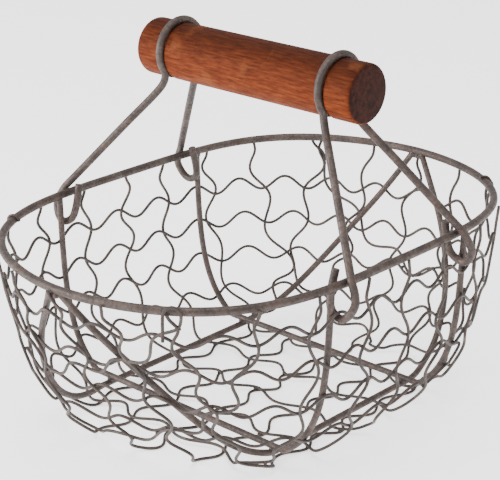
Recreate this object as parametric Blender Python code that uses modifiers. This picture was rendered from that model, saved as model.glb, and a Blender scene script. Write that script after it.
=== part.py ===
"""Egg collection basket: an oval wire basket with two wire bails and a turned wooden grip.

+X runs along the grip (the basket's short side), +Y along the basket's long side, +Z up.
The origin is at the centre of the basket, on the surface it stands on.
The four ribs, the netting wires and the rim are one welded frame. Each bail hangs on the rim by an
open eye at each foot, and the grip turns in the loops that the bails make round its two grooves.
"""

import math

import bpy
from mathutils import Vector

MM = 0.001

# Wire sizes
RIM_WIRE = 4.0 * MM
RIB_WIRE = 3.2 * MM
BAIL_WIRE = 3.8 * MM
NET_WIRE = 1.4 * MM

# Basket bowl, measured on the rim's and the ribs' centre lines
RIM_HALF_X = 89.5 * MM
RIM_HALF_Y = 130.0 * MM
BOWL_DEPTH = 92.0 * MM  # rim centre line to the flat of the bottom
END_TAPER = 0.25  # share that the length loses from rim to bottom
SIDE_TAPER = 0.02
SQUARE_X = 1.83  # superellipse powers of the plan outline
SQUARE_Y = 3.79
CORNER = 4.0  # power of the turn from wall to bottom
BELLY = 7.0 * MM  # depth by which the flat cuts off the bowl's round bottom

# Where the wires run
CROSS_RIB_Y = 49.0 * MM  # the two ribs along X
LONG_RIB_X = 55.0 * MM  # the two ribs along Y, on the bottom
HOOP_DROPS = (19.0 * MM, 38.0 * MM, 57.0 * MM)  # upper netting hoops, below the rim
LOW_HOOP_RISE = 17.0 * MM  # lowest netting hoop, above the flat of the bottom
MIDDLE_STRAND_Y = (0.0, 28.0 * MM, 58.0 * MM)  # netting wires along X, from the middle
END_STRAND_INSET = (46.0 * MM, 23.0 * MM)  # and in from each end of the rim
LONG_STRAND_X = (0.0, 27.0 * MM, 52.0 * MM)  # netting wires along Y, and the same at -X
PINCH_PLAY = 0.6 * MM  # each long rib from the middle, where the two meet under the rim
SPREAD_SHARE = 0.86  # sine of the turn at which the long ribs are fully apart
SPREAD_POWER = 1.1
SLANT_SHARE = 0.6  # of a rib's radius: extra drop, as the long ribs meet the rim at a slant

# Handle
GRIP_RADIUS = 14.0 * MM
GRIP_HALF_LENGTH = 67.0 * MM
GRIP_EASE = 2.0 * MM  # rounding of the end edges
GRIP_RISE = 71.8 * MM  # rim centre line to grip axis
GROOVE_X = 50.0 * MM
GROOVE_DEPTH = 2.5 * MM
GROOVE_PLAY = 0.75 * MM  # each side of the bail wire
LOOP_PLAY = 1.1 * MM  # between groove floor and bail wire, all round
LOOP_LIFT = 0.8 * MM  # loop centre above the grip axis, as the grip rests in the loop
LOOP_END_TURN = 42.0  # degrees below level where the loop lets go of the grip
EYE_PLAY = 0.25 * MM  # between a leaning eye and the cross rib beside it
EYE_LEAN = 0.25  # run along the rim for each unit of drop
EYE_DROP = 15.0 * MM  # rim centre line to the eye's lowest centre line
EYE_OUT = 8.0 * MM
EYE_IN = 6.0 * MM
EYE_TAIL = 5.0 * MM  # cut end above the rim centre line

GAP = 0.3 * MM  # clearance where one wire lies on another
NET_GAP = 0.6 * MM  # the same between netting wires, which bow a little between points
BEND_STEPS = 5  # points between two control points of a bent wire
BOW = 0.20 * MM  # most that a wire's straight pieces leave its curve

RIM_R = RIM_WIRE / 2
RIB_R = RIB_WIRE / 2
BAIL_R = BAIL_WIRE / 2
NET_R = NET_WIRE / 2

# Layers outwards from the ribs' centre line
HOOP_OUT = RIB_R + NET_R + GAP
CROSS_STRAND_OUT = HOOP_OUT + NET_WIRE + NET_GAP
LONG_STRAND_OUT = CROSS_STRAND_OUT + NET_WIRE + NET_GAP
AT_RIM_OUT = RIM_R + NET_R + GAP

FLOOR_Z = LONG_STRAND_OUT + NET_R * math.cos(math.radians(30))  # six-sided wires stand on a flat
RIM_Z = FLOOR_Z + BOWL_DEPTH
GRIP_Z = RIM_Z + GRIP_RISE
LOOP_Z = GRIP_Z + LOOP_LIFT
GROOVE_RADIUS = GRIP_RADIUS - GROOVE_DEPTH
LOOP_RADIUS = GROOVE_RADIUS + LOOP_PLAY + BAIL_R

PINCH_HALF_X = RIB_R + PINCH_PLAY
FOOT_Y = CROSS_RIB_Y - RIB_R - BAIL_R - EYE_LEAN * EYE_DROP - EYE_PLAY

STEEL = ("antique_brown_steel", (0.115, 0.092, 0.080, 1.0), 0.55, 0.75)
WOOD = ("stained_wood", (0.250, 0.075, 0.030, 1.0), 0.45, 0.0)


# ---------------------------------------------------------------- bowl
def fullness(point):
    """1 on the bowl's surface, less inside it. The bowl is a tapering superellipsoid."""
    drop = max(RIM_Z - point.z, 0.0) / (BOWL_DEPTH + BELLY)
    across = abs(point.x) / (RIM_HALF_X * (1 - SIDE_TAPER * drop))
    along = abs(point.y) / (RIM_HALF_Y * (1 - END_TAPER * drop))
    plan = across ** SQUARE_X + along ** SQUARE_Y
    return plan ** (CORNER / SQUARE_X) + drop ** CORNER


def outwards(point):
    """The bowl's outward direction at a point of its surface."""
    step = 0.2 * MM
    slopes = []
    for axis in range(3):
        ahead = point.copy()
        behind = point.copy()
        ahead[axis] += step
        behind[axis] -= step
        slopes.append(fullness(ahead) - fullness(behind))
    if point.z > RIM_Z - 1.5 * step:
        slopes[2] = 0.0
    return Vector(slopes).normalized()


def reach(start, direction):
    """Where a ray from inside the bowl meets its surface."""
    near, far = 0.0, 4 * RIM_HALF_Y
    for _ in range(48):
        middle = (near + far) / 2
        if fullness(start + direction * middle) < 1:
            near = middle
        else:
            far = middle
    return start + direction * near


def on_bowl(start, direction, out, flat=FLOOR_Z):
    """The wire's centre point on the bowl, pushed out by its layer. `flat` cuts off the bottom."""
    point = reach(start, direction)
    if point.z < flat:
        return Vector((point.x, point.y, flat - out))
    near_rim = max(0.0, 1 - (RIM_Z - point.z) / (0.15 * BOWL_DEPTH))
    if out > AT_RIM_OUT:
        out += (AT_RIM_OUT - out) * near_rim
    pushed = point + outwards(point) * out
    pushed.z = max(pushed.z, flat - out)
    return pushed


def spread(first, last, count):
    return [first + (last - first) * i / (count - 1) for i in range(count)]


def thinned(points, sag=BOW):
    """Only the points that a bent wire needs: the straight pieces leave the curve by `sag` at most."""
    kept = [points[0]]
    start = 0
    for end in range(2, len(points)):
        chord = points[end] - points[start]
        for between in points[start + 1:end]:
            if (between - points[start]).cross(chord).length > sag * chord.length:
                kept.append(points[end - 1])
                start = end - 1
                break
    return kept + [points[-1]]


def smooth(controls):
    """A Catmull-Rom curve through the control points."""
    points = []
    last = len(controls) - 1
    for i in range(last):
        before = controls[max(i - 1, 0)]
        after = controls[min(i + 2, last)]
        here, there = controls[i], controls[i + 1]
        for k in range(BEND_STEPS):
            t = k / BEND_STEPS
            points.append(
                0.5 * (2 * here + (there - before) * t
                       + (2 * before - 5 * here + 4 * there - after) * t * t
                       + (3 * here - before - 3 * there + after) * t ** 3)
            )
    points.append(controls[last].copy())
    return points


# ---------------------------------------------------------------- wire routes
def rim_route(count=240):
    points = []
    for i in range(count):
        turn = 2 * math.pi * i / count
        direction = Vector((RIM_HALF_X * math.cos(turn), RIM_HALF_Y * math.sin(turn), 0))
        points.append(reach(Vector((0, 0, RIM_Z)), direction.normalized()))
    return thinned(points)


def hoop_route(drop, count=240):
    centre = Vector((0, 0, RIM_Z - drop))
    points = []
    for i in range(count):
        turn = 2 * math.pi * i / count
        direction = Vector((RIM_HALF_X * math.cos(turn), RIM_HALF_Y * math.sin(turn), 0))
        points.append(on_bowl(centre, direction.normalized(), HOOP_OUT))
    return thinned(points)


def cross_route(y, out, top_drop, flat=FLOOR_Z, count=241):
    """A wire that runs down one long side, across the bottom along X, and up the other."""
    centre = Vector((0, y, RIM_Z))
    side = reach(centre, Vector((1, 0, 0))).x
    low = math.atan2(top_drop, side)
    points = []
    for turn in spread(low, math.pi - low, count):
        points.append(on_bowl(centre, Vector((math.cos(turn), 0, -math.sin(turn))), out, flat))
    return thinned(points)


def long_route(x_of_turn, out, top_drop, count=241):
    """A wire that runs down one end, along the bottom, and up the other end."""
    low = math.atan2(top_drop, RIM_HALF_Y)
    points = []
    for turn in spread(low, math.pi - low, count):
        x = x_of_turn(math.sin(turn))
        direction = Vector((0, math.cos(turn), -math.sin(turn)))
        points.append(on_bowl(Vector((x, 0, RIM_Z)), direction, out))
    return thinned(points)


def pinched(side):
    """The long ribs part from each other on the way down: x against the sine of the turn."""
    def x_of_turn(sine):
        left = max(0.0, 1 - sine / SPREAD_SHARE)
        return side * (PINCH_HALF_X + (LONG_RIB_X - PINCH_HALF_X) * (1 - left ** SPREAD_POWER))
    return x_of_turn


def height_by(route, y):
    """The most height that a wire's centre line has within a rib's radius of this place along Y."""
    heights = []
    for place in (y - RIB_R, y + RIB_R):
        for here, there in zip(route, route[1:]):
            if min(here.y, there.y) <= place < max(here.y, there.y):
                heights.append(here.lerp(there, (place - here.y) / (there.y - here.y)).z)
    return max(heights)


def bail_route(side):
    """One bail: eye, leg, loop over the grip, leg, eye. It is the same at +Y and -Y."""
    half = []
    for turn in spread(90.0, -LOOP_END_TURN, 12):
        angle = math.radians(turn)
        half.append(Vector((
            side * GROOVE_X,
            LOOP_RADIUS * math.cos(angle),
            LOOP_Z + LOOP_RADIUS * math.sin(angle),
        )))
    rim_x = reach(Vector((0, FOOT_Y, RIM_Z)), Vector((1, 0, 0))).x
    clear = RIM_R + BAIL_R + GAP
    lean = math.atan2(rim_x - GROOVE_X, GRIP_RISE)
    shoulder_out = clear * math.cos(lean) * 1.04
    shoulder_up = clear * math.sin(lean) * 1.04

    def foot(out, rise):
        along = FOOT_Y - EYE_LEAN * rise
        return Vector((side * (rim_x + out), along, RIM_Z + rise))

    top = half[-1]
    shoulder = foot(shoulder_out, shoulder_up)
    bend = Vector((side * (GROOVE_X + 2.5 * MM), top.y + 1.2 * MM, top.z - 8.0 * MM))
    leg = [top, bend]
    leg += [bend.lerp(shoulder, share) for share in (0.35, 0.68, 0.90)]
    eye = [
        shoulder,
        foot(EYE_OUT * 0.86, -EYE_DROP * 0.20),
        foot(EYE_OUT, -EYE_DROP * 0.52),
        foot(EYE_OUT * 0.66, -EYE_DROP * 0.88),
        foot(0.5 * (EYE_OUT - EYE_IN), -EYE_DROP),
        foot(-EYE_IN * 0.72, -EYE_DROP * 0.80),
        foot(-EYE_IN, -EYE_DROP * 0.36),
        foot(-EYE_IN * 0.95, EYE_TAIL),
    ]
    half = half[:-1] + thinned(smooth(leg + eye), BOW / 2)
    mirrored = [Vector((p.x, -p.y, p.z)) for p in reversed(half[1:])]
    return mirrored + half


# ---------------------------------------------------------------- objects
def clear_scene():
    for item in list(bpy.data.objects):
        bpy.data.objects.remove(item, do_unlink=True)


def material(spec):
    name, colour, roughness, metallic = spec
    made = bpy.data.materials.new(name)
    made.use_nodes = True
    shader = made.node_tree.nodes["Principled BSDF"]
    shader.inputs["Base Color"].default_value = colour
    shader.inputs["Roughness"].default_value = roughness
    shader.inputs["Metallic"].default_value = metallic
    return made


def wire(name, points, radius, origin, collection, closed=False, resolution=1):
    """A round wire along the points, as a curve with filled ends."""
    data = bpy.data.curves.new(name, "CURVE")
    data.dimensions = "3D"
    data.twist_mode = "Z_UP"
    data.bevel_depth = radius
    data.bevel_resolution = resolution
    data.use_fill_caps = True
    spline = data.splines.new("POLY")
    spline.points.add(len(points) - 1)
    for slot, point in zip(spline.points, points):
        local = point - origin
        slot.co = (local.x, local.y, local.z, 1.0)
    spline.use_cyclic_u = closed
    data.materials.append(material((name + "_steel",) + STEEL[1:]))
    made = bpy.data.objects.new(name, data)
    made.location = origin
    collection.objects.link(made)
    return made


def empty(name, place, collection):
    made = bpy.data.objects.new(name, None)
    made.empty_display_size = 10 * MM
    made.location = place
    collection.objects.link(made)
    return made


def under(parent, child):
    child.parent = parent
    child.matrix_parent_inverse.identity()
    child.location = child.location - parent.location


def grip_profile():
    """Half outline of the turned grip, from one end of its axis to the other."""
    groove = BAIL_R + GROOVE_PLAY
    outline = [(0.0, GRIP_HALF_LENGTH)]
    for turn in spread(90.0, 0.0, 4):
        angle = math.radians(turn)
        outline.append((
            GRIP_RADIUS - GRIP_EASE * (1 - math.cos(angle)),
            GRIP_HALF_LENGTH - GRIP_EASE * (1 - math.sin(angle)),
        ))
    for share, sunk in ((1.0, 0.0), (0.72, 0.62), (0.36, 0.93), (0.0, 1.0)):
        outline.append((GRIP_RADIUS - GROOVE_DEPTH * sunk, GROOVE_X + groove * share))
    for share, sunk in ((0.36, 0.93), (0.72, 0.62), (1.0, 0.0)):
        outline.append((GRIP_RADIUS - GROOVE_DEPTH * sunk, GROOVE_X - groove * share))
    return outline + [(radius, -along) for radius, along in reversed(outline)]


def grip(collection):
    """The turned wooden grip, its axis along X and its origin on that axis."""
    outline = grip_profile()
    data = bpy.data.meshes.new("grip")
    vertices = [(radius, 0.0, along) for radius, along in outline]
    data.from_pydata(vertices, [(i, i + 1) for i in range(len(vertices) - 1)], [])
    made = bpy.data.objects.new("grip", data)
    made.rotation_euler = (0.0, math.radians(90), 0.0)
    made.location = (0.0, 0.0, GRIP_Z)
    turned = made.modifiers.new("turned", "SCREW")
    turned.angle = 2 * math.pi
    turned.screw_offset = 0.0
    turned.steps = 32
    turned.render_steps = 32
    turned.use_merge_vertices = True
    turned.merge_threshold = 0.00001
    turned.use_smooth_shade = True
    data.materials.append(material(WOOD))
    collection.objects.link(made)
    return made


def build():
    clear_scene()
    basket = bpy.data.collections.new("egg_collection_basket")
    bpy.context.scene.collection.children.link(basket)
    centre = Vector((0, 0, RIM_Z))
    wire("rim", rim_route(), RIM_R, centre, basket, closed=True, resolution=2)

    rib_top = RIM_R + GAP  # the rib's cut end stands under the rim
    slanted_top = rib_top + SLANT_SHARE * RIB_R
    long_ribs = {side: long_route(pinched(side), 0.0, slanted_top) for side in (1, -1)}
    for label, y in (("rear", CROSS_RIB_Y), ("front", -CROSS_RIB_Y)):
        below = max(height_by(route, y) for route in long_ribs.values())
        raised = below + RIB_WIRE + GAP  # the cross ribs lie on the long ribs
        route = cross_route(y, 0.0, rib_top, raised)
        wire("cross_rib_" + label, route, RIB_R, Vector((0, y, raised)), basket, resolution=2)
    for label, side in (("right", 1), ("left", -1)):
        route = long_ribs[side]
        origin = Vector((side * LONG_RIB_X, 0, FLOOR_Z))
        wire("long_rib_" + label, route, RIB_R, origin, basket, resolution=2)

    for number, drop in enumerate(HOOP_DROPS + (BOWL_DEPTH - LOW_HOOP_RISE,), 1):
        name = "net_hoop_%d" % number
        wire(name, hoop_route(drop), NET_R, Vector((0, 0, RIM_Z - drop)), basket, closed=True)
    half_rows = MIDDLE_STRAND_Y + tuple(RIM_HALF_Y - inset for inset in END_STRAND_INSET)
    for number, y in enumerate(sorted({sign * y for y in half_rows for sign in (-1, 1)}), 1):
        route = cross_route(y, CROSS_STRAND_OUT, 0.0)
        wire("net_cross_%d" % number, route, NET_R, Vector((0, y, FLOOR_Z)), basket)
    for number, x in enumerate(sorted({sign * x for x in LONG_STRAND_X for sign in (-1, 1)}), 1):
        route = long_route(lambda sine, x=x: x, LONG_STRAND_OUT, 0.0)
        wire("net_long_%d" % number, route, NET_R, Vector((x, 0, FLOOR_Z)), basket)

    left_lift = empty("left_bail_lift", Vector((-GROOVE_X, 0, RIM_Z)), basket)
    right_lift = empty("right_bail_lift", Vector((GROOVE_X, 0, RIM_Z)), basket)
    left = wire("left_bail", bail_route(-1), BAIL_R, left_lift.location.copy(), basket, resolution=2)
    right = wire("right_bail", bail_route(1), BAIL_R, right_lift.location.copy(), basket, resolution=2)
    under(left_lift, left)
    under(right_lift, right)
    under(left_lift, grip(basket))


build()
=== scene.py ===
# %% [markdown]
# An egg collection basket: an oval bowl of thin crimped wire netting on four thick ribs and a rim,
# carried by a turned wooden grip. Two bent bails hook on the rim and loop round the grip's grooves.
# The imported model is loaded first. It fixes every size and place, and its nodes are measured below.

import math
import random

import bpy
import numpy as np
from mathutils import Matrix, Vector


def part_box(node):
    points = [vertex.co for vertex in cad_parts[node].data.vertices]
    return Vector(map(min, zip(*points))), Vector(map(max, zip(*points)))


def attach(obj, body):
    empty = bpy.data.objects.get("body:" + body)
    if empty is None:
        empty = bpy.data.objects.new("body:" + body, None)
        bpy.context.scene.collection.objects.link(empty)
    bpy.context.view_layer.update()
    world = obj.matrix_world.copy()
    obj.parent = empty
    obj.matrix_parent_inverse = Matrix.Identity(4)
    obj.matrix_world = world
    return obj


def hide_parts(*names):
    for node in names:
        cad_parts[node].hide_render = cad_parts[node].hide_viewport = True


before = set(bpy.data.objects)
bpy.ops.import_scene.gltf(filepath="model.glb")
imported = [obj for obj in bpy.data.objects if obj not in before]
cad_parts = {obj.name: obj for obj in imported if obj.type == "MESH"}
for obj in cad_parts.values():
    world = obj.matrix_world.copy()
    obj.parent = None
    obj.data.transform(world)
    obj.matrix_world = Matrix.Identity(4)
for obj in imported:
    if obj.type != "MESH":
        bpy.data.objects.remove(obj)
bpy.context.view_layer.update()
MM = 0.001
random.seed(7)

# %% [markdown]
# Sizes come from the nodes' boxes, so the detailed wires lie where the plain ones do. The wires'
# own thicknesses are the design's values, in millimetres.

# %% Measure the model
rim_low, rim_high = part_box("rim")
grip_low, grip_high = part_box("grip")
RIM_WIRE, RIB_WIRE, BAIL_WIRE, NET_WIRE = 4.0 * MM, 3.2 * MM, 3.8 * MM, 1.4 * MM
RIM_R, RIB_R, BAIL_R, NET_R = RIM_WIRE / 2, RIB_WIRE / 2, BAIL_WIRE / 2, NET_WIRE / 2
GAP = 0.3 * MM  # clearance where one wire lies on another
RIM_Z = (rim_low[2] + rim_high[2]) / 2
HALF_X = (rim_high[0] - rim_low[0]) / 2 - RIM_R
HALF_Y = (rim_high[1] - rim_low[1]) / 2 - RIM_R
FLOOR_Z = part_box("long_rib_left")[0][2] + RIB_R
DEPTH = RIM_Z - FLOOR_Z
GRIP_Z = (grip_low[2] + grip_high[2]) / 2
GRIP_HALF = (grip_high[0] - grip_low[0]) / 2
GRIP_R = (grip_high[2] - grip_low[2]) / 2
print("rim %.1f x %.1f mm at z %.1f" % (2000 * HALF_X, 2000 * HALF_Y, 1000 * RIM_Z))
print("grip %.1f x %.1f mm at z %.1f" % (2000 * GRIP_HALF, 2000 * GRIP_R, 1000 * GRIP_Z))

# %% [markdown]
# The bowl is one rule: a superellipse plan that draws in towards the bottom, closed below by a
# rounded corner and cut off flat. Wires can then be routed by shooting rays at it, which keeps
# every wire on the same surface. Drawing each wire by hand would leave them at odds at crossings.
# The real bowl was bent by hand and is a little twisted: two opposite corners belly out and two
# pull in. The front end slopes more than the rear, apart from its left corner, which is full.

# %% Describe the bowl
END_TAPER, SIDE_TAPER = 0.25, 0.02  # shares that length and width lose from rim to bottom
SQUARE_X, SQUARE_Y = 1.83, 3.79  # powers of the plan outline: higher is squarer
CORNER = 4.0  # power of the turn from wall to bottom
BELLY = 7.0 * MM  # depth by which the flat cuts off the round bottom
HAND_TWIST, MOST_TWIST = 0.25, 0.06  # what the twist takes from the end taper
FRONT_LEAN, CORNER_FILL = 0.12, 0.20  # what the front end adds to it, and its left corner takes off
SLOPE_STEP = 0.2 * MM
HALVINGS = 48


def fullness(points):
    """1 on the bowl's surface, and less inside it."""
    drop = np.maximum(RIM_Z - points[:, 2], 0) / (DEPTH + BELLY)
    across = np.abs(points[:, 0]) / (HALF_X * (1 - SIDE_TAPER * drop))
    twist = points[:, 0] * points[:, 1] / (HALF_X * HALF_Y)
    end_taper = END_TAPER - np.clip(HAND_TWIST * twist, -MOST_TWIST, MOST_TWIST)
    leftward = np.clip(-points[:, 0] / HALF_X, 0, 1)
    frontward = np.clip(-points[:, 1] / HALF_Y, 0, 1)
    end_taper = end_taper + frontward * (FRONT_LEAN - CORNER_FILL * leftward)
    along = np.abs(points[:, 1]) / (HALF_Y * (1 - end_taper * drop))
    plan = across**SQUARE_X + along**SQUARE_Y
    return plan ** (CORNER / SQUARE_X) + drop**CORNER


def reach(starts, directions):
    """Where rays from inside the bowl meet its surface."""
    near = np.zeros(len(starts))
    far = np.full(len(starts), 4 * HALF_Y)
    for _ in range(HALVINGS):
        middle = (near + far) / 2
        inside = fullness(starts + directions * middle[:, None]) < 1
        near = np.where(inside, middle, near)
        far = np.where(inside, far, middle)
    return starts + directions * near[:, None]


def on_rim(y, side):
    """The place on the rim's centre line at this y, on the right (1) or left (-1) side."""
    return reach(np.array([[0, y, RIM_Z]]), np.array([[float(side), 0, 0]]))[0]


def outwards(points):
    """The bowl's outward direction at points of its surface. It is level at the rim."""
    slopes = np.zeros_like(points)
    for axis in range(3):
        move = np.zeros(3)
        move[axis] = SLOPE_STEP
        slopes[:, axis] = fullness(points + move) - fullness(points - move)
    slopes[points[:, 2] > RIM_Z - 1.5 * SLOPE_STEP, 2] = 0
    return slopes / np.linalg.norm(slopes, axis=1)[:, None]


def on_bowl(starts, directions, wall_out, floor_out, flat=FLOOR_Z):
    """Centre points of a wire on the bowl, and the bowl's outward direction at each. The wire lies
    further out by wall_out down to half the depth, and changes to floor_out below that."""
    points = reach(starts, directions)
    normals = outwards(points)
    low = points[:, 2] < flat
    normals[low] = (0, 0, -1)
    points[low, 2] = flat
    floorward = np.clip((RIM_Z - points[:, 2]) / DEPTH * 2 - 1, 0, 1)
    out = wall_out + (floor_out - wall_out) * floorward
    points = points + normals * out[:, None]
    points[:, 2] = np.maximum(points[:, 2], flat - out)
    return points, normals


half_way = np.array([[0, 0, RIM_Z - DEPTH / 2]] * 2)
ends = 1000 * np.abs(reach(half_way, np.array([[0, 1.0, 0], [0, -1.0, 0]]))[:, 1])
print("half length at half depth: rear %.1f mm, front %.1f mm" % tuple(ends))

# %% [markdown]
# Routes: a hoop goes round at one height, or at a slant where its row isn't level. A cross wire
# runs down a long side, over the bottom and up the other side. A long wire does the same from end
# to end. Each is a fan of rays: level ones for a hoop, and for the others downward ones from the
# height of the rim. The wire's points are then spaced evenly, and sharp turns are eased.

# %% Route the wires
ROW_FALLS_TOWARDS = math.radians(138)
HOOP_RAYS, CROSS_RAYS, LONG_RAYS = 420, 260, 300


def hoop_route(drop, out, slant=0.0):
    """Round the bowl, this far below the rim. One side of the row may lie lower than the other."""
    angle = np.linspace(0, 2 * math.pi, HOOP_RAYS + 1)[:-1]
    aim = np.stack([HALF_X * np.cos(angle), HALF_Y * np.sin(angle), 0 * angle], 1)
    aim /= np.linalg.norm(aim, axis=1)[:, None]
    start = np.tile((0, 0, RIM_Z - drop), (HOOP_RAYS, 1))
    start[:, 2] -= slant * np.cos(angle - ROW_FALLS_TOWARDS)
    return on_bowl(start, aim, out, out)


def cross_route(y, wall_out, floor_out, top_drop, flat=FLOOR_Z):
    """Across the bowl in one upright plane. top_drop is how far below the rim the wire starts."""
    low = math.atan2(top_drop, on_rim(y, 1)[0])
    angle = np.linspace(low, math.pi - low, CROSS_RAYS)
    aim = np.stack([np.cos(angle), 0 * angle, -np.sin(angle)], 1)
    start = np.tile((0, y, RIM_Z), (CROSS_RAYS, 1))
    return on_bowl(start, aim, wall_out, floor_out, flat)


def long_route(x_of_turn, wall_out, floor_out, top_drop):
    """Along the bowl. Where the wire is across the bowl changes with its turn under the rim."""
    low = math.atan2(top_drop, HALF_Y)
    angle = np.linspace(low, math.pi - low, LONG_RAYS)
    x = np.array([x_of_turn(math.sin(a), math.cos(a)) for a in angle])
    aim = np.stack([0 * angle, np.cos(angle), -np.sin(angle)], 1)
    start = np.stack([x, 0 * x, 0 * x + RIM_Z], 1)
    return on_bowl(start, aim, wall_out, floor_out)


def lengths_along(points):
    """How far along the route each of its points lies."""
    steps = np.linalg.norm(np.diff(points, axis=0), axis=1)
    return np.concatenate([[0], np.cumsum(steps)])


def even(points, spacing, closed=False):
    """The same route with its points evenly spaced."""
    loop = np.vstack([points, points[:1]]) if closed else points
    length = lengths_along(loop)
    count = max(2, int(round(length[-1] / spacing)))
    stations = np.linspace(0, length[-1], count + 1)
    if closed:
        stations = stations[:-1]
    return np.stack([np.interp(stations, length, loop[:, i]) for i in range(3)], 1)


def eased(points, passes, closed=False):
    """Rounds off sharp turns, which stiff wire can't make. The ends of an open wire stay put."""
    for _ in range(passes):
        softer = (np.roll(points, 1, 0) + 2 * points + np.roll(points, -1, 0)) / 4
        if not closed:
            softer[0], softer[-1] = points[0], points[-1]
        points = softer
    return points


rim_points, _ = hoop_route(0.0, 0.0)
print("wire in the rim: %.0f mm" % (1000 * lengths_along(rim_points)[-1]))

# %% [markdown]
# A wire is a curve given a round bevel and turned into a mesh. A tube swept along a curve keeps
# its thickness through every bend, which extruding a circle by hand would not. Thick wires get
# more sides than thin ones, because their outline shows.

# %% Bend a wire
RIM_ROUNDNESS, RIB_ROUNDNESS, NET_ROUNDNESS = 7, 5, 2
SMOOTH_BELOW = math.radians(50)


def deselect():
    if bpy.context.mode != "OBJECT":
        bpy.ops.object.mode_set(mode="OBJECT")
    bpy.ops.object.select_all(action="DESELECT")


def wire(name, points, radius, roundness, closed=False):
    deselect()
    bpy.ops.curve.primitive_nurbs_path_add()
    path = bpy.context.object
    path.name = name
    path.data.splines.clear()
    spline = path.data.splines.new("POLY")
    spline.points.add(len(points) - 1)
    spline.points.foreach_set("co", np.c_[points, np.ones(len(points))].ravel())
    spline.use_cyclic_u = closed
    path.data.dimensions = "3D"
    path.data.bevel_depth = radius
    path.data.bevel_resolution = roundness
    path.data.use_fill_caps = True
    bpy.ops.object.convert(target="MESH")
    made = bpy.context.object
    bpy.ops.object.mode_set(mode="EDIT")
    bpy.ops.mesh.select_all(action="SELECT")
    bpy.ops.mesh.remove_doubles(threshold=1e-6)
    bpy.ops.mesh.normals_make_consistent(inside=False)
    bpy.ops.object.mode_set(mode="OBJECT")
    bpy.ops.object.shade_smooth_by_angle(angle=SMOOTH_BELOW)
    made.data.name = name
    return made


print("sides round the rim:", 2 * RIM_ROUNDNESS + 4, "and round the netting:", 2 * NET_ROUNDNESS + 4)

# %% [markdown]
# Colours are chosen as sRGB hex values. The shaders work in linear light, so one function turns
# them. Another adds a node with its settings and links, so that each material reads as a list.
# A Mix node keeps its colour sockets at fixed numbers, which are named here.

# %% Colour and node helpers
MIX_SHARE, MIX_FIRST, MIX_SECOND, MIX_RESULT = 0, 6, 7, 2


def linear(hex_colour):
    parts = [int(hex_colour[i : i + 2], 16) / 255 for i in (1, 3, 5)]
    return tuple(p / 12.92 if p <= 0.04045 else ((p + 0.055) / 1.055) ** 2.4 for p in parts) + (1,)


def node(tree, kind, links=(), stops=(), **settings):
    """Adds a node. A link's source may be a plain value, and stops are places on a colour ramp,
    each with a hex colour or a grey level."""
    made = tree.nodes.new(kind)
    for key, value in settings.items():
        if hasattr(made, key):
            setattr(made, key, value)
        else:
            made.inputs[key.replace("_", " ")].default_value = value
    for socket, source in dict(links).items():
        if isinstance(source, bpy.types.NodeSocket):
            tree.links.new(source, made.inputs[socket])
        else:
            made.inputs[socket].default_value = source
    for number, (place, colour) in enumerate(stops):
        elements = made.color_ramp.elements
        element = elements[number] if number < 2 else elements.new(place)
        element.position = place
        element.color = linear(colour) if isinstance(colour, str) else (colour,) * 3 + (1,)
    return made


def finish_of(name):
    """A new material, with its tree, its shader and the place of each point on the piece."""
    made = bpy.data.materials.new(name)
    made.use_nodes = True
    tree = made.node_tree
    shader = tree.nodes["Principled BSDF"]
    place = node(tree, "ShaderNodeTexCoord").outputs["Object"]
    return made, tree, shader, place


def pattern_per_mm(size_mm):
    return 1000.0 / size_mm


print("#808080 in linear light: %.3f" % linear("#808080")[0])

# %% [markdown]
# Antique brown wire: drawn mild steel, dipped in a thin rust-brown lacquer and rubbed back. The
# lacquer is satin and a little uneven, so the eye sees warm brown-grey with small darker and
# reddish patches, and fine pits that break up the highlight along each wire. The netting is calmer:
# its pits are drawn coarser than the wire, because finer ones would only look like noise.

# %% Antique brown steel
PATCH_MM, RUST_MM, STEEL_METALLIC, PIT_STRENGTH = 9, 5, 0.35, 0.55


def antique_steel(name, dark, middle, light, rust, pit_mm, pit_shade, pit_depth):
    made, tree, shader, place = finish_of(name)
    patches = node(tree, "ShaderNodeTexNoise", {"Vector": place}, Scale=pattern_per_mm(PATCH_MM), Detail=5.0)
    pits = node(tree, "ShaderNodeTexNoise", {"Vector": place}, Scale=pattern_per_mm(pit_mm), Detail=4.0)
    rusty = node(tree, "ShaderNodeTexNoise", {"Vector": place}, Scale=pattern_per_mm(RUST_MM), Detail=6.0)
    base = node(tree, "ShaderNodeValToRGB", {"Fac": patches.outputs["Fac"]},
                stops=[(0.30, dark), (0.52, middle), (0.72, light)])
    how_rusty = node(tree, "ShaderNodeValToRGB", {"Fac": rusty.outputs["Fac"]},
                     stops=[(0.50, 0.0), (0.68, 0.75)])
    brown = node(tree, "ShaderNodeMix", data_type="RGBA",
                 links={MIX_SHARE: how_rusty.outputs["Color"], MIX_FIRST: base.outputs["Color"],
                        MIX_SECOND: linear(rust)})
    shade = node(tree, "ShaderNodeValToRGB", {"Fac": pits.outputs["Fac"]},
                 stops=[(0.30, pit_shade), (0.60, 1.0)])
    mottled = node(tree, "ShaderNodeMix", data_type="RGBA", blend_type="MULTIPLY",
                   links={MIX_SHARE: 1.0, MIX_FIRST: brown.outputs[MIX_RESULT],
                          MIX_SECOND: shade.outputs["Color"]})
    rough = node(tree, "ShaderNodeValToRGB", {"Fac": pits.outputs["Fac"]},
                 stops=[(0.35, 0.66), (0.70, 0.44)])
    bump = node(tree, "ShaderNodeBump", {"Height": pits.outputs["Fac"]},
                Strength=PIT_STRENGTH, Distance=pit_depth)
    tree.links.new(mottled.outputs[MIX_RESULT], shader.inputs["Base Color"])
    tree.links.new(rough.outputs["Color"], shader.inputs["Roughness"])
    tree.links.new(bump.outputs["Normal"], shader.inputs["Normal"])
    shader.inputs["Metallic"].default_value = STEEL_METALLIC
    return made


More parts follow.
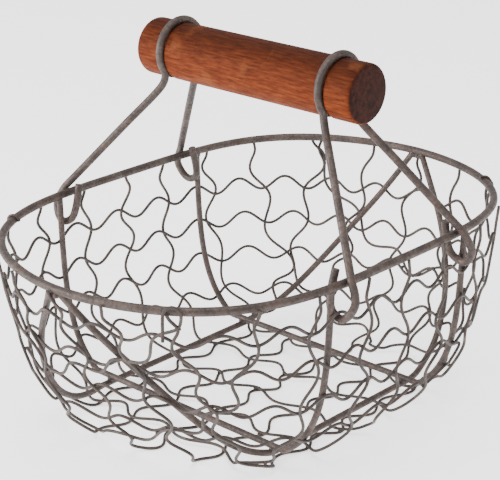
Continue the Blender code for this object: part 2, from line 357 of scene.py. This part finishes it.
STEEL = antique_steel("antique_brown_steel", "#332a27", "#483c37", "#5e504a", "#4d3b33",
                      pit_mm=1.3, pit_shade=0.62, pit_depth=0.12 * MM)
NET_STEEL = antique_steel("antique_netting_steel", "#2d2623", "#3f3632", "#564a44", "#45352d",
                          pit_mm=4.0, pit_shade=0.8, pit_depth=0.03 * MM)
WELD = antique_steel("lacquered_weld", "#2c2623", "#443b36", "#665c55", "#4b372e",
                     pit_mm=1.3, pit_shade=0.62, pit_depth=0.25 * MM)
print("steel finishes:", STEEL.name, NET_STEEL.name, WELD.name)

# %% [markdown]
# Rim: one thick wire bent to the oval and butt-welded. It is swept round the bowl's top edge. Every
# finished piece is dressed the same way: its material, the body it moves with, and the plain node it
# stands for.

# %% Rim
def dress(piece, material, body, cad_node):
    piece.data.materials.clear()
    piece.data.materials.append(material)
    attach(piece, body)
    if cad_node:
        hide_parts(cad_node)


rim = wire("rim_wire", rim_points, RIM_R, RIM_ROUNDNESS, closed=True)
dress(rim, STEEL, "basket", "rim")
print("rim:", len(rim.data.polygons), "faces")

# %% [markdown]
# Ribs: four thick wires bent to a U. The two across the basket lie on the two that run along it.
# The long ribs are pinched together under the rim and part towards the bottom, and each bellies
# out a little more at one of its two ends, as the hand that bent it left it.

# %% Ribs
LONG_RIB_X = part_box("long_rib_right")[1][0] - RIB_R
CROSS_RIB_Y = (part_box("cross_rib_rear")[0][1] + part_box("cross_rib_rear")[1][1]) / 2
PINCH = RIB_R + 0.6 * MM  # each long rib from the middle, under the rim
SPREAD_SHARE, SPREAD_POWER = 0.86, 1.1  # sine of the turn where they are apart, and how evenly
HAND_BEND, BEND_ENDS = 7.0 * MM, 1.3  # depth of the belly, and the share of the turn it ends by
RIB_TOP = 0.6 * RIM_R  # the cut end is sunk in its weld under the rim
RIB_SPACING = 2.0 * MM


def pinched(side):
    def x_of_turn(sine, cosine):
        left = max(0.0, 1 - sine / SPREAD_SHARE)
        belly = max(0.0, side * cosine) * math.sin(math.pi * min(1.0, BEND_ENDS * sine))
        spread = (LONG_RIB_X - PINCH) * (1 - left**SPREAD_POWER)
        return side * (PINCH + spread + HAND_BEND * belly)

    return x_of_turn


def rib(name, cad_node, points):
    made = wire(name, even(points, RIB_SPACING), RIB_R, RIB_ROUNDNESS)
    dress(made, STEEL, "basket", cad_node)


raised = FLOOR_Z + RIB_WIRE + GAP
for label, y in (("rear", CROSS_RIB_Y), ("front", -CROSS_RIB_Y)):
    points, _ = cross_route(y, 0.0, 0.0, RIB_TOP, raised)
    rib("cross_rib_wire_" + label, "cross_rib_" + label, points)
for label, side in (("right", 1), ("left", -1)):
    points, _ = long_route(pinched(side), 0.0, 0.0, RIB_TOP)
    rib("long_rib_wire_" + label, "long_rib_" + label, points)
print("rib spacing: %.1f and %.1f mm" % (2000 * LONG_RIB_X, 2000 * CROSS_RIB_Y))

# %% [markdown]
# Netting: thin wire crimped into waves, then welded where the waves cross. The wave lies in the
# bowl's surface, so it is added sideways: along the cross product of the bowl's outward
# direction and the wire's own direction. Each wire gets its own start and a slow drift, as
# hand-shaped netting has, and nearby wires then look alike but never the same.

# %% Crimp a wire
WAVE = 3.7 * MM
PITCH, CROSS_PITCH = 27.5 * MM, 33.0 * MM
STRAIGHT_END = 9.0 * MM  # the waves fade out towards a wire's ends
SWELL, SWELL_STRETCH = 0.22, 3.0  # waves grow and shrink by this share, this much more slowly
DRIFT, DRIFT_WAVES = 0.6, 3.7  # waves run ahead and lag by this angle, over so many pitches
HOOP_DRIFT, HOOP_DRIFTS = 0.55, 3  # the same on a closed hoop, in whole turns
DRIFT_START = 2.3


def crimped(points, normals, pitch, phase, closed=False):
    after = np.roll(points, -1, 0) - np.roll(points, 1, 0)
    if not closed:
        after[0] = points[1] - points[0]
        after[-1] = points[-1] - points[-2]
    side = np.cross(normals, after)
    side /= np.linalg.norm(side, axis=1)[:, None]
    length = lengths_along(points)
    if closed:
        total = length[-1] + np.linalg.norm(points[0] - points[-1])
        angle = 2 * math.pi * round(total / pitch) * length / total
        slow = 2 * math.pi * HOOP_DRIFTS * length / total
        drift = HOOP_DRIFT * np.sin(slow + DRIFT_START * phase)
        swell = 1.0
    else:
        angle = 2 * math.pi * length / pitch
        slow = 2 * math.pi * length / (DRIFT_WAVES * pitch)
        drift = DRIFT * np.sin(slow + DRIFT_START * phase)
        inward = np.minimum(length, length[-1] - length) / STRAIGHT_END
        swell = 1 + SWELL * np.sin(angle / SWELL_STRETCH + phase)
        swell = swell * np.clip(inward, 0, 1) ** 2
    return points + side * (WAVE * swell * np.sin(angle + drift + phase))[:, None]


print("waves %.1f mm each way, one to every %.1f mm" % (1000 * WAVE, 1000 * PITCH))

# %% [markdown]
# Loose ends: most netting wires end welded under the rim. Two are wrapped on over it instead, and
# one is bent down again beside itself. Both are short arcs added to the end of the wire's route.

# %% Netting ends
NET_DRAWN_R = 0.77 * MM
WRAP_GAP, ARCH_OUT, LEG_OUT = 0.1 * MM, 0.4 * MM, 0.5 * MM
WRAP_POINTS, ARCH_POINTS = 14, 12


def level_out(normal):
    flat = np.array([normal[0], normal[1], 0.0])
    return flat / np.linalg.norm(flat)


UP = np.array([0.0, 0.0, 1.0])


def over_rim(points, normals, first, last_turn, tail):
    """Carries a wire's first or last end on over the rim, ending in a short straight tail."""
    end = 0 if first else -1
    out = level_out(normals[end])
    away = RIM_R + NET_DRAWN_R + WRAP_GAP
    base = on_rim(points[end][1], np.sign(out[0]))
    steps = np.linspace(0, last_turn, WRAP_POINTS)
    bend = [base + away * (out * math.cos(t) + UP * math.sin(t)) for t in steps]
    onward = UP * math.cos(last_turn) - out * math.sin(last_turn)
    bend.append(bend[-1] + onward * tail)
    return np.vstack([bend[::-1], points]) if first else np.vstack([points, bend])


def bent_back(points, normals, width, fall):
    """Turns a wire's first end down again beside itself, in an upside-down U on the rim's face."""
    out = level_out(normals[0])
    beside = np.array([out[1], -out[0], 0.0])
    middle = points[0] + beside * width / 2 + out * ARCH_OUT
    steps = np.linspace(0, math.pi, ARCH_POINTS)
    arch = [middle + width / 2 * (-beside * math.cos(t) + UP * math.sin(t)) for t in steps]
    leg = arch[-1] - UP * fall + out * LEG_OUT
    return np.vstack([leg, arch[::-1], points[3:]])


WRAPPED = {
    "net_cross_2": {"first": False, "last_turn": math.radians(165), "tail": 1.2 * MM},
    "net_cross_9": {"first": True, "last_turn": math.radians(110), "tail": 1.5 * MM},
}
print("wires wrapped over the rim:", sorted(WRAPPED))

# %% [markdown]
# The netting lies outside the ribs in three layers: hoops, cross wires and long wires. At the
# crossings the layers press into each other a little, where the welder squeezed them. Sharp turns
# are eased, and neighbours start half a wave apart, so that the openings come out rounded.

# %% Netting wires
HOOP_OUT = RIB_R + 0.9 * NET_R
CROSS_OUT = HOOP_OUT + 1.5 * NET_R
LONG_OUT = HOOP_OUT + 1.6 * NET_R
CROSS_FLOOR = FLOOR_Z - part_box("net_cross_5")[0][2] - NET_DRAWN_R
LONG_FLOOR = FLOOR_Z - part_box("net_long_3")[0][2] - NET_DRAWN_R
NET_TOP = 0.3 * MM
NET_SPACING = 1.3 * MM
NET_EASE, CROSS_EASE = 4, 3
ROW_SLANTS = (5.0 * MM, 4.5 * MM, 3.5 * MM, 2.0 * MM)
CROSS_START, LONG_START = 1.1, 0.4


def netting_nodes(kind):
    return sorted(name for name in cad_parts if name.startswith("net_" + kind))


def middle_of(name, axis):
    low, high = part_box(name)
    return (low[axis] + high[axis]) / 2


def net_wire(cad_node, route, passes=NET_EASE, closed=False):
    points = eased(even(route, NET_SPACING, closed), passes, closed)
    piece = wire(cad_node + "_crimped", points, NET_DRAWN_R, NET_ROUNDNESS, closed)
    dress(piece, NET_STEEL, "basket", cad_node)


hoops, crossers, longs = [], [], []
for number, name in enumerate(netting_nodes("hoop_")):
    points, normals = hoop_route(RIM_Z - middle_of(name, 2), HOOP_OUT, ROW_SLANTS[number])
    hoops.append(crimped(points, normals, PITCH, math.pi * number, closed=True))
    net_wire(name, hoops[-1], closed=True)
for number, name in enumerate(netting_nodes("cross_")):
    points, normals = cross_route(middle_of(name, 1), CROSS_OUT, CROSS_FLOOR, NET_TOP)
    route = crimped(points, normals, CROSS_PITCH, CROSS_START + math.pi * (number % 2))
    crossers.append(route)
    if name in WRAPPED:
        route = over_rim(route, normals, **WRAPPED[name])
    if name == "net_cross_1":
        route = bent_back(route, normals, width=8 * MM, fall=12 * MM)
    net_wire(name, route, CROSS_EASE)
for number, name in enumerate(netting_nodes("long_")):
    x = middle_of(name, 0)
    points, normals = long_route(lambda sine, cosine, x=x: x, LONG_OUT, LONG_FLOOR, NET_TOP)
    longs.append(crimped(points, normals, PITCH, LONG_START + math.pi * (number % 2)))
    net_wire(name, longs[-1])
print("netting wires:", len(hoops), len(crossers), len(longs))

# %% [markdown]
# Bails: each is one thick wire. Its middle is looped over the grip's groove, its legs spread and
# lean outwards, and each foot is bent round the rim into an open eye with a cut end inside. The
# eye is laid out by a few points, given as shares of how far it reaches out, in and down, and one
# smooth curve through them keeps the bends round.

# %% Bail route
GROOVE_X = 50.0 * MM
GROOVE_DEPTH = 2.5 * MM
GROOVE_HALF = BAIL_R + 0.75 * MM
LOOP_R = GRIP_R - GROOVE_DEPTH + 1.1 * MM + BAIL_R
LOOP_Z = GRIP_Z + 0.8 * MM
LOOP_TOP, LOOP_END, LOOP_POINTS = 90.0, -42.0, 40  # degrees above level
EYE_DROP, EYE_OUT, EYE_IN, EYE_TAIL = 15.0 * MM, 8.0 * MM, 6.0 * MM, 5.0 * MM
EYE_LEAN = 0.25  # run along the rim for each unit of drop
EYE_PLAY = 0.25 * MM  # between a leaning eye and the cross rib beside it
FOOT_Y = CROSS_RIB_Y - RIB_R - BAIL_R - EYE_LEAN * EYE_DROP - EYE_PLAY
CLEAR = 1.04 * (RIM_R + BAIL_R + GAP)  # bail to rim, centre to centre, with room for the bend
CURVE_STEPS = 14
BAIL_SPACING = 1.3 * MM


def smooth(controls):
    """A Catmull-Rom curve through the control points."""
    points = []
    last = len(controls) - 1
    for i in range(last):
        before, after = controls[max(i - 1, 0)], controls[min(i + 2, last)]
        here, there = controls[i], controls[i + 1]
        for k in range(CURVE_STEPS):
            t = k / CURVE_STEPS
            points.append(
                0.5 * (2 * here + (there - before) * t
                       + (2 * before - 5 * here + 4 * there - after) * t * t
                       + (3 * here - before - 3 * there + after) * t**3)
            )
    return points + [controls[last]]


def bail_route(side):
    half = []
    for turn in np.radians(np.linspace(LOOP_TOP, LOOP_END, LOOP_POINTS)):
        across, up = LOOP_R * math.cos(turn), LOOP_R * math.sin(turn)
        half.append(Vector((side * GROOVE_X, across, LOOP_Z + up)))
    rim_x = on_rim(FOOT_Y, 1)[0]
    lean = math.atan2(rim_x - GROOVE_X, GRIP_Z - RIM_Z)

    def foot(out, rise):
        return Vector((side * (rim_x + out), FOOT_Y - EYE_LEAN * rise, RIM_Z + rise))

    shoulder = foot(CLEAR * math.cos(lean), CLEAR * math.sin(lean))
    top = half[-1]
    bend = Vector((side * (GROOVE_X + 2.5 * MM), top.y + 1.2 * MM, top.z - 8 * MM))
    leg = [top, bend] + [bend.lerp(shoulder, share) for share in (0.35, 0.68, 0.90)]
    eye = [
        shoulder,
        foot(0.86 * EYE_OUT, -0.20 * EYE_DROP),
        foot(EYE_OUT, -0.52 * EYE_DROP),
        foot(0.66 * EYE_OUT, -0.88 * EYE_DROP),
        foot((EYE_OUT - EYE_IN) / 2, -EYE_DROP),
        foot(-0.72 * EYE_IN, -0.80 * EYE_DROP),
        foot(-EYE_IN, -0.36 * EYE_DROP),
        foot(-0.95 * EYE_IN, EYE_TAIL),
    ]
    half = half[:-1] + smooth(leg + eye)
    whole = [Vector((p.x, -p.y, p.z)) for p in reversed(half[1:])] + half
    return np.array([tuple(p) for p in whole])


for label, side in (("left", -1), ("right", 1)):
    points = even(bail_route(side), BAIL_SPACING)
    bail = wire(label + "_bail_wire", points, BAIL_R, RIM_ROUNDNESS)
    dress(bail, STEEL, label + "_bail", label + "_bail")
print("bails: loop radius %.1f mm, feet %.1f mm from the middle" % (1000 * LOOP_R, 1000 * FOOT_Y))

# %% [markdown]
# Grip: turned on a lathe from a round stick, with two shallow grooves for the bail loops and eased
# ends. A cylinder stands in for the stick. It is cut into rings along its length, as a lathe tool
# would meet it, so that each ring can be given its own radius.

# %% Grip blank
SAME_PLACE = 0.01 * MM
GROOVE_SQUARE = 2.6  # power of the groove's hollow: higher is squarer
PLAIN_RINGS = [-24 * MM, 0.0, 24 * MM, GRIP_HALF - 8 * MM, 8 * MM - GRIP_HALF]


def groove_share(x):
    """1 in the middle of a groove, falling to 0 at its lips."""
    return max(0.0, 1 - (abs(abs(x) - GROOVE_X) / GROOVE_HALF) ** GROOVE_SQUARE)


deselect()
bpy.ops.mesh.primitive_cylinder_add(
    vertices=96, radius=GRIP_R, depth=2 * GRIP_HALF, end_fill_type="NGON",
    location=(0, 0, GRIP_Z), rotation=(0, math.radians(90), 0),
)
grip = bpy.context.object
grip.name = "turned_grip"
bpy.ops.object.transform_apply(location=True, rotation=True, scale=True)
bpy.ops.object.mode_set(mode="EDIT")
shares = (-1.0, -0.9, -0.72, -0.5, -0.25, 0.0, 0.25, 0.5, 0.72, 0.9, 1.0)
rings = sorted(side * GROOVE_X + GROOVE_HALF * share for side in (-1, 1) for share in shares)
rings += PLAIN_RINGS
for x in rings:
    bpy.ops.mesh.select_all(action="SELECT")
    bpy.ops.mesh.bisect(plane_co=(x, 0, GRIP_Z), plane_no=(1, 0, 0))
print("rings cut:", len(rings))

# %% [markdown]
# Each ring is then scaled about the grip's axis to the turned radius there, and the end edges are
# bevelled. Vertices are picked by their place along the grip.

# %% Grip turning
def pick(wanted):
    """Selects the grip's vertices whose x the test accepts, and leaves it in edit mode."""
    bpy.ops.mesh.select_mode(type="VERT")
    bpy.ops.mesh.select_all(action="DESELECT")
    bpy.ops.object.mode_set(mode="OBJECT")
    for vertex in grip.data.vertices:
        vertex.select = wanted(vertex.co.x)
    bpy.ops.object.mode_set(mode="EDIT")


for x in rings:
    pick(lambda at, x=x: abs(at - x) < SAME_PLACE)
    share = (GRIP_R - GROOVE_DEPTH * groove_share(x)) / GRIP_R
    bpy.ops.transform.resize(value=(1, share, share), center_override=(x, 0, GRIP_Z))
pick(lambda at: abs(abs(at) - GRIP_HALF) < SAME_PLACE)
bpy.ops.mesh.select_mode(type="EDGE")
bpy.ops.mesh.bevel(offset=2.0 * MM, offset_type="OFFSET", segments=5, affect="EDGES")
bpy.ops.mesh.select_all(action="SELECT")
bpy.ops.mesh.normals_make_consistent(inside=False)
bpy.ops.object.mode_set(mode="OBJECT")
bpy.ops.object.shade_smooth_by_angle(angle=math.radians(40))
print("grip:", len(grip.data.polygons), "faces")

# %% [markdown]
# Stained beech: close pale wood under a reddish brown stain and a thin wax. The grain runs along
# the stick as fine streaks, so its noise is stretched along X. Broad bands vary the tone. Painted
# shade darkens the top and painted light brightens the lower side, by height. In patches the stain is worn
# thin.

# %% Stained side grain
STREAK_MM, BAND_MM, WEAR_MM = 1.1, 7.0, 14.0
GRAIN_STRETCH = 0.13
WOOD, tree, shader, place = finish_of("stained_beech")
along = node(tree, "ShaderNodeMapping", {"Vector": place, "Scale": (GRAIN_STRETCH, 1.0, 1.0)})
streaks = node(tree, "ShaderNodeTexNoise", {"Vector": along.outputs["Vector"]},
               Scale=pattern_per_mm(STREAK_MM), Detail=7.0, Roughness=0.68)
bands = node(tree, "ShaderNodeTexNoise", {"Vector": along.outputs["Vector"]},
             Scale=pattern_per_mm(BAND_MM), Detail=3.0)
wear = node(tree, "ShaderNodeTexNoise", {"Vector": place}, Scale=pattern_per_mm(WEAR_MM), Detail=6.0)
grain = node(tree, "ShaderNodeValToRGB", {"Fac": streaks.outputs["Fac"]},
             stops=[(0.30, "#3c1709"), (0.52, "#632a0e"), (0.74, "#7c3d17")])
tone = node(tree, "ShaderNodeValToRGB", {"Fac": bands.outputs["Fac"]}, stops=[(0.32, 0.72), (0.66, 1.0)])
toned = node(tree, "ShaderNodeMix", data_type="RGBA", blend_type="MULTIPLY",
             links={MIX_SHARE: 0.8, MIX_FIRST: grain.outputs["Color"], MIX_SECOND: tone.outputs["Color"]})
# Painted shade and light by height: the grip's top is darkened and its lower side brightened, as the studio
# light fell.
height = node(tree, "ShaderNodeSeparateXYZ", {"Vector": place})
grip_height_share = node(tree, "ShaderNodeMapRange", {
    "Value": height.outputs["Z"],
    "From Min": GRIP_Z - 0.9 * GRIP_R, "From Max": GRIP_Z + 0.95 * GRIP_R,
})
painted_height_shade = node(tree, "ShaderNodeValToRGB", {"Fac": grip_height_share.outputs["Result"]},
              stops=[(0.1, 1.25), (0.55, 0.95), (0.95, 0.42)])
painted_shaded_wood = node(tree, "ShaderNodeMix", data_type="RGBA", blend_type="MULTIPLY",
                links={MIX_SHARE: 1.0, MIX_FIRST: toned.outputs[MIX_RESULT],
                       MIX_SECOND: painted_height_shade.outputs["Color"]})
worn = node(tree, "ShaderNodeValToRGB", {"Fac": wear.outputs["Fac"]}, stops=[(0.56, 0.0), (0.74, 0.55)])
rubbed = node(tree, "ShaderNodeMix", data_type="RGBA",
              links={MIX_SHARE: worn.outputs["Color"], MIX_FIRST: painted_shaded_wood.outputs[MIX_RESULT],
                     MIX_SECOND: linear("#7a4322")})
print("side grain: streaks of %.1f mm, %.0f times as long" % (STREAK_MM, 1 / GRAIN_STRETCH))

# %% [markdown]
# The end grain takes up more of the stain, and its colour is painted darker still as shade on the end faces,
# so the two ends are darker and duller. They are found by their normal, which points along the stick there.
# The wax leaves only a faint sheen, with a slightly rough feel that follows the streaks.

# %% End grain and wax
END_GRAIN_MM = 2.2
facing = node(tree, "ShaderNodeNewGeometry").outputs["Normal"]
split = node(tree, "ShaderNodeSeparateXYZ", {"Vector": facing})
endward = node(tree, "ShaderNodeMath", {0: split.outputs["X"]}, operation="ABSOLUTE")
is_end = node(tree, "ShaderNodeValToRGB", {"Fac": endward.outputs[0]}, stops=[(0.55, 0.0), (0.92, 1.0)])
pores = node(tree, "ShaderNodeTexNoise", {"Vector": place}, Scale=pattern_per_mm(END_GRAIN_MM), Detail=6.0)
# End faces: the stain's real darkening of end grain, plus painted shade.
end_grain_and_painted_shade = node(tree, "ShaderNodeValToRGB", {"Fac": pores.outputs["Fac"]},
                 stops=[(0.35, "#1d0c08"), (0.62, "#341811")])
wood = node(tree, "ShaderNodeMix", data_type="RGBA",
            links={MIX_SHARE: is_end.outputs["Color"], MIX_FIRST: rubbed.outputs[MIX_RESULT],
                   MIX_SECOND: end_grain_and_painted_shade.outputs["Color"]})
rough = node(tree, "ShaderNodeValToRGB", {"Fac": streaks.outputs["Fac"]}, stops=[(0.3, 0.78), (0.7, 0.60)])
bump = node(tree, "ShaderNodeBump", {"Height": streaks.outputs["Fac"]}, Strength=0.4, Distance=0.15 * MM)
tree.links.new(wood.outputs[MIX_RESULT], shader.inputs["Base Color"])
tree.links.new(rough.outputs["Color"], shader.inputs["Roughness"])
tree.links.new(bump.outputs["Normal"], shader.inputs["Normal"])
shader.inputs["Specular IOR Level"].default_value = 0.09
dress(grip, WOOD, "grip", "grip")
print("wood finish:", WOOD.name)

# %% [markdown]
# Welds: where netting wires cross, the welder pressed them together and left a small swelling. The
# nearest points of each pair of routes give the places. Every bead is a low ball, as there are
# hundreds of them, and all are joined into one piece.

# %% Netting welds
WELD_REACH = 2.6 * MM  # wires that pass closer than this are welded
WELD_APART = 8.0 * MM
NET_BEAD_R = 1.0 * MM


def nearest_places(first, second):
    gaps = np.linalg.norm(first[:, None] - second[None], axis=2)
    close = np.argwhere(gaps < WELD_REACH)
    places = []
    for i, j in sorted(close.tolist(), key=lambda pair: gaps[pair[0], pair[1]]):
        place = (first[i] + second[j]) / 2
        if all(np.linalg.norm(place - other) > WELD_APART for other in places):
            places.append(place)
    return places


def beads(name, places, radius, material, subdivisions=1, rough=0.0):
    parts = []
    for place in places:
        deselect()
        bpy.ops.mesh.primitive_ico_sphere_add(
            subdivisions=subdivisions, radius=radius, location=tuple(place)
        )
        bead = bpy.context.object
        for vertex in bead.data.vertices:
            vertex.co *= 1 + rough * (random.random() - 0.5)
        parts.append(bead)
    deselect()
    for part in parts:
        part.select_set(True)
    bpy.context.view_layer.objects.active = parts[0]
    bpy.ops.object.join()
    joined = bpy.context.object
    joined.name = name
    bpy.ops.object.transform_apply(location=True, rotation=True, scale=True)
    bpy.ops.object.shade_smooth()
    dress(joined, material, "basket", None)


weld_places = []
for crosser in crossers:
    for other in hoops + longs:
        weld_places += nearest_places(crosser, other)
for long_wire in longs:
    for hoop in hoops:
        weld_places += nearest_places(long_wire, hoop)
beads("netting_welds", weld_places, NET_BEAD_R, NET_STEEL)
print("netting welds:", len(weld_places))

# %% [markdown]
# Frame welds are bigger and lumpier: one where each rib meets the rim, one at each of the four
# places where the ribs cross on the bottom, and a row of three where the long ribs are pinched
# together and where the rim's own ends meet.

# %% Frame welds
FRAME_BEAD_R, LUMPINESS = 1.78 * MM, 0.07
AWAY_FROM_EYE = 0.5 * MM
PINCH_ROW = (-1.9 * MM, 0.0, 1.9 * MM)
BUTT_ROW, BUTT_Y = (-1.5 * MM, 0.4 * MM, 1.9 * MM), -10.0 * MM
RAISED = 0.4 * MM
places = []
for side in (-1, 1):
    for y in (-CROSS_RIB_Y, CROSS_RIB_Y):
        away = math.copysign(AWAY_FROM_EYE, y)
        places.append(on_rim(y, side) + np.array([0, away, -RIM_R]))
        places.append(np.array([side * LONG_RIB_X, y, FLOOR_Z + RIB_R]))
    rim_end = reach(np.array([[0, 0, RIM_Z]]), np.array([[0, float(side), 0]]))[0]
    places += [rim_end + np.array([x, 0, -RIM_R - RAISED]) for x in PINCH_ROW]
butt = on_rim(BUTT_Y, -1)
places += [butt + np.array([0.5 * MM, y, RAISED]) for y in BUTT_ROW]
beads("frame_welds", places, FRAME_BEAD_R, WELD, subdivisions=3, rough=LUMPINESS)
print("frame welds:", len(places))

# %% [markdown]
# Studio: a pale seamless floor, an even white surround and two soft lights. The stronger one stands
# low on the left, so the grip's lower side glows and its end face stays dark. The floor glows a
# little by itself, as a lit table does, which keeps the shadows faint.

# %% Floor and light
deselect()
bpy.ops.mesh.primitive_plane_add(size=40.0, location=(0, 0, 0))
floor = bpy.context.object
floor.name = "studio_floor"
paper, tree, shader, place = finish_of("white_paper")
shader.inputs["Base Color"].default_value = linear("#fbfbfb")
shader.inputs["Roughness"].default_value = 0.9
shader.inputs["Emission Color"].default_value = (1, 1, 1, 1)
shader.inputs["Emission Strength"].default_value = 1.3
floor.data.materials.append(paper)

world = bpy.data.worlds.new("studio")
bpy.context.scene.world = world
world.use_nodes = True
surround = world.node_tree.nodes["Background"]
surround.inputs["Color"].default_value = (1, 1, 1, 1)
surround.inputs["Strength"].default_value = 1.1


def soft_light(name, place, size, watts, aim=(0, 0, 0.1)):
    data = bpy.data.lights.new(name, "AREA")
    data.shape = "SQUARE"
    data.size = size
    data.energy = watts
    lamp = bpy.data.objects.new(name, data)
    bpy.context.scene.collection.objects.link(lamp)
    lamp.location = place
    lamp.rotation_euler = (Vector(aim) - Vector(place)).to_track_quat("-Z", "Y").to_euler()
    print("%s: %.1f m wide, %.0f W" % (name, size, watts))


soft_light("left_softbox", (-0.9, -1.3, 0.55), size=0.9, watts=36)
soft_light("top_softbox", (0.1, -0.2, 1.6), size=1.2, watts=18)

# %% [markdown]
# Camera: a long lens under a metre away, off the basket's front right corner and looking a little
# down into the bowl. A long lens keeps the near and far ends close to their true proportions.

# %% Camera
camera_data = bpy.data.cameras.new("camera")
camera = bpy.data.objects.new("camera", camera_data)
bpy.context.scene.collection.objects.link(camera)
camera_data.sensor_width = 36.0
camera_data.lens = 115.4
eye = Vector((0.49145, -0.54149, 0.36657))
target = Vector((-0.01126, 0.00777, 0.07936))
camera.location = eye
camera.rotation_mode = "QUATERNION"
camera.rotation_quaternion = (target - eye).to_track_quat("-Z", "Y")
bpy.context.scene.camera = camera
print("camera %.0f mm from the basket" % (1000 * (eye - target).length))
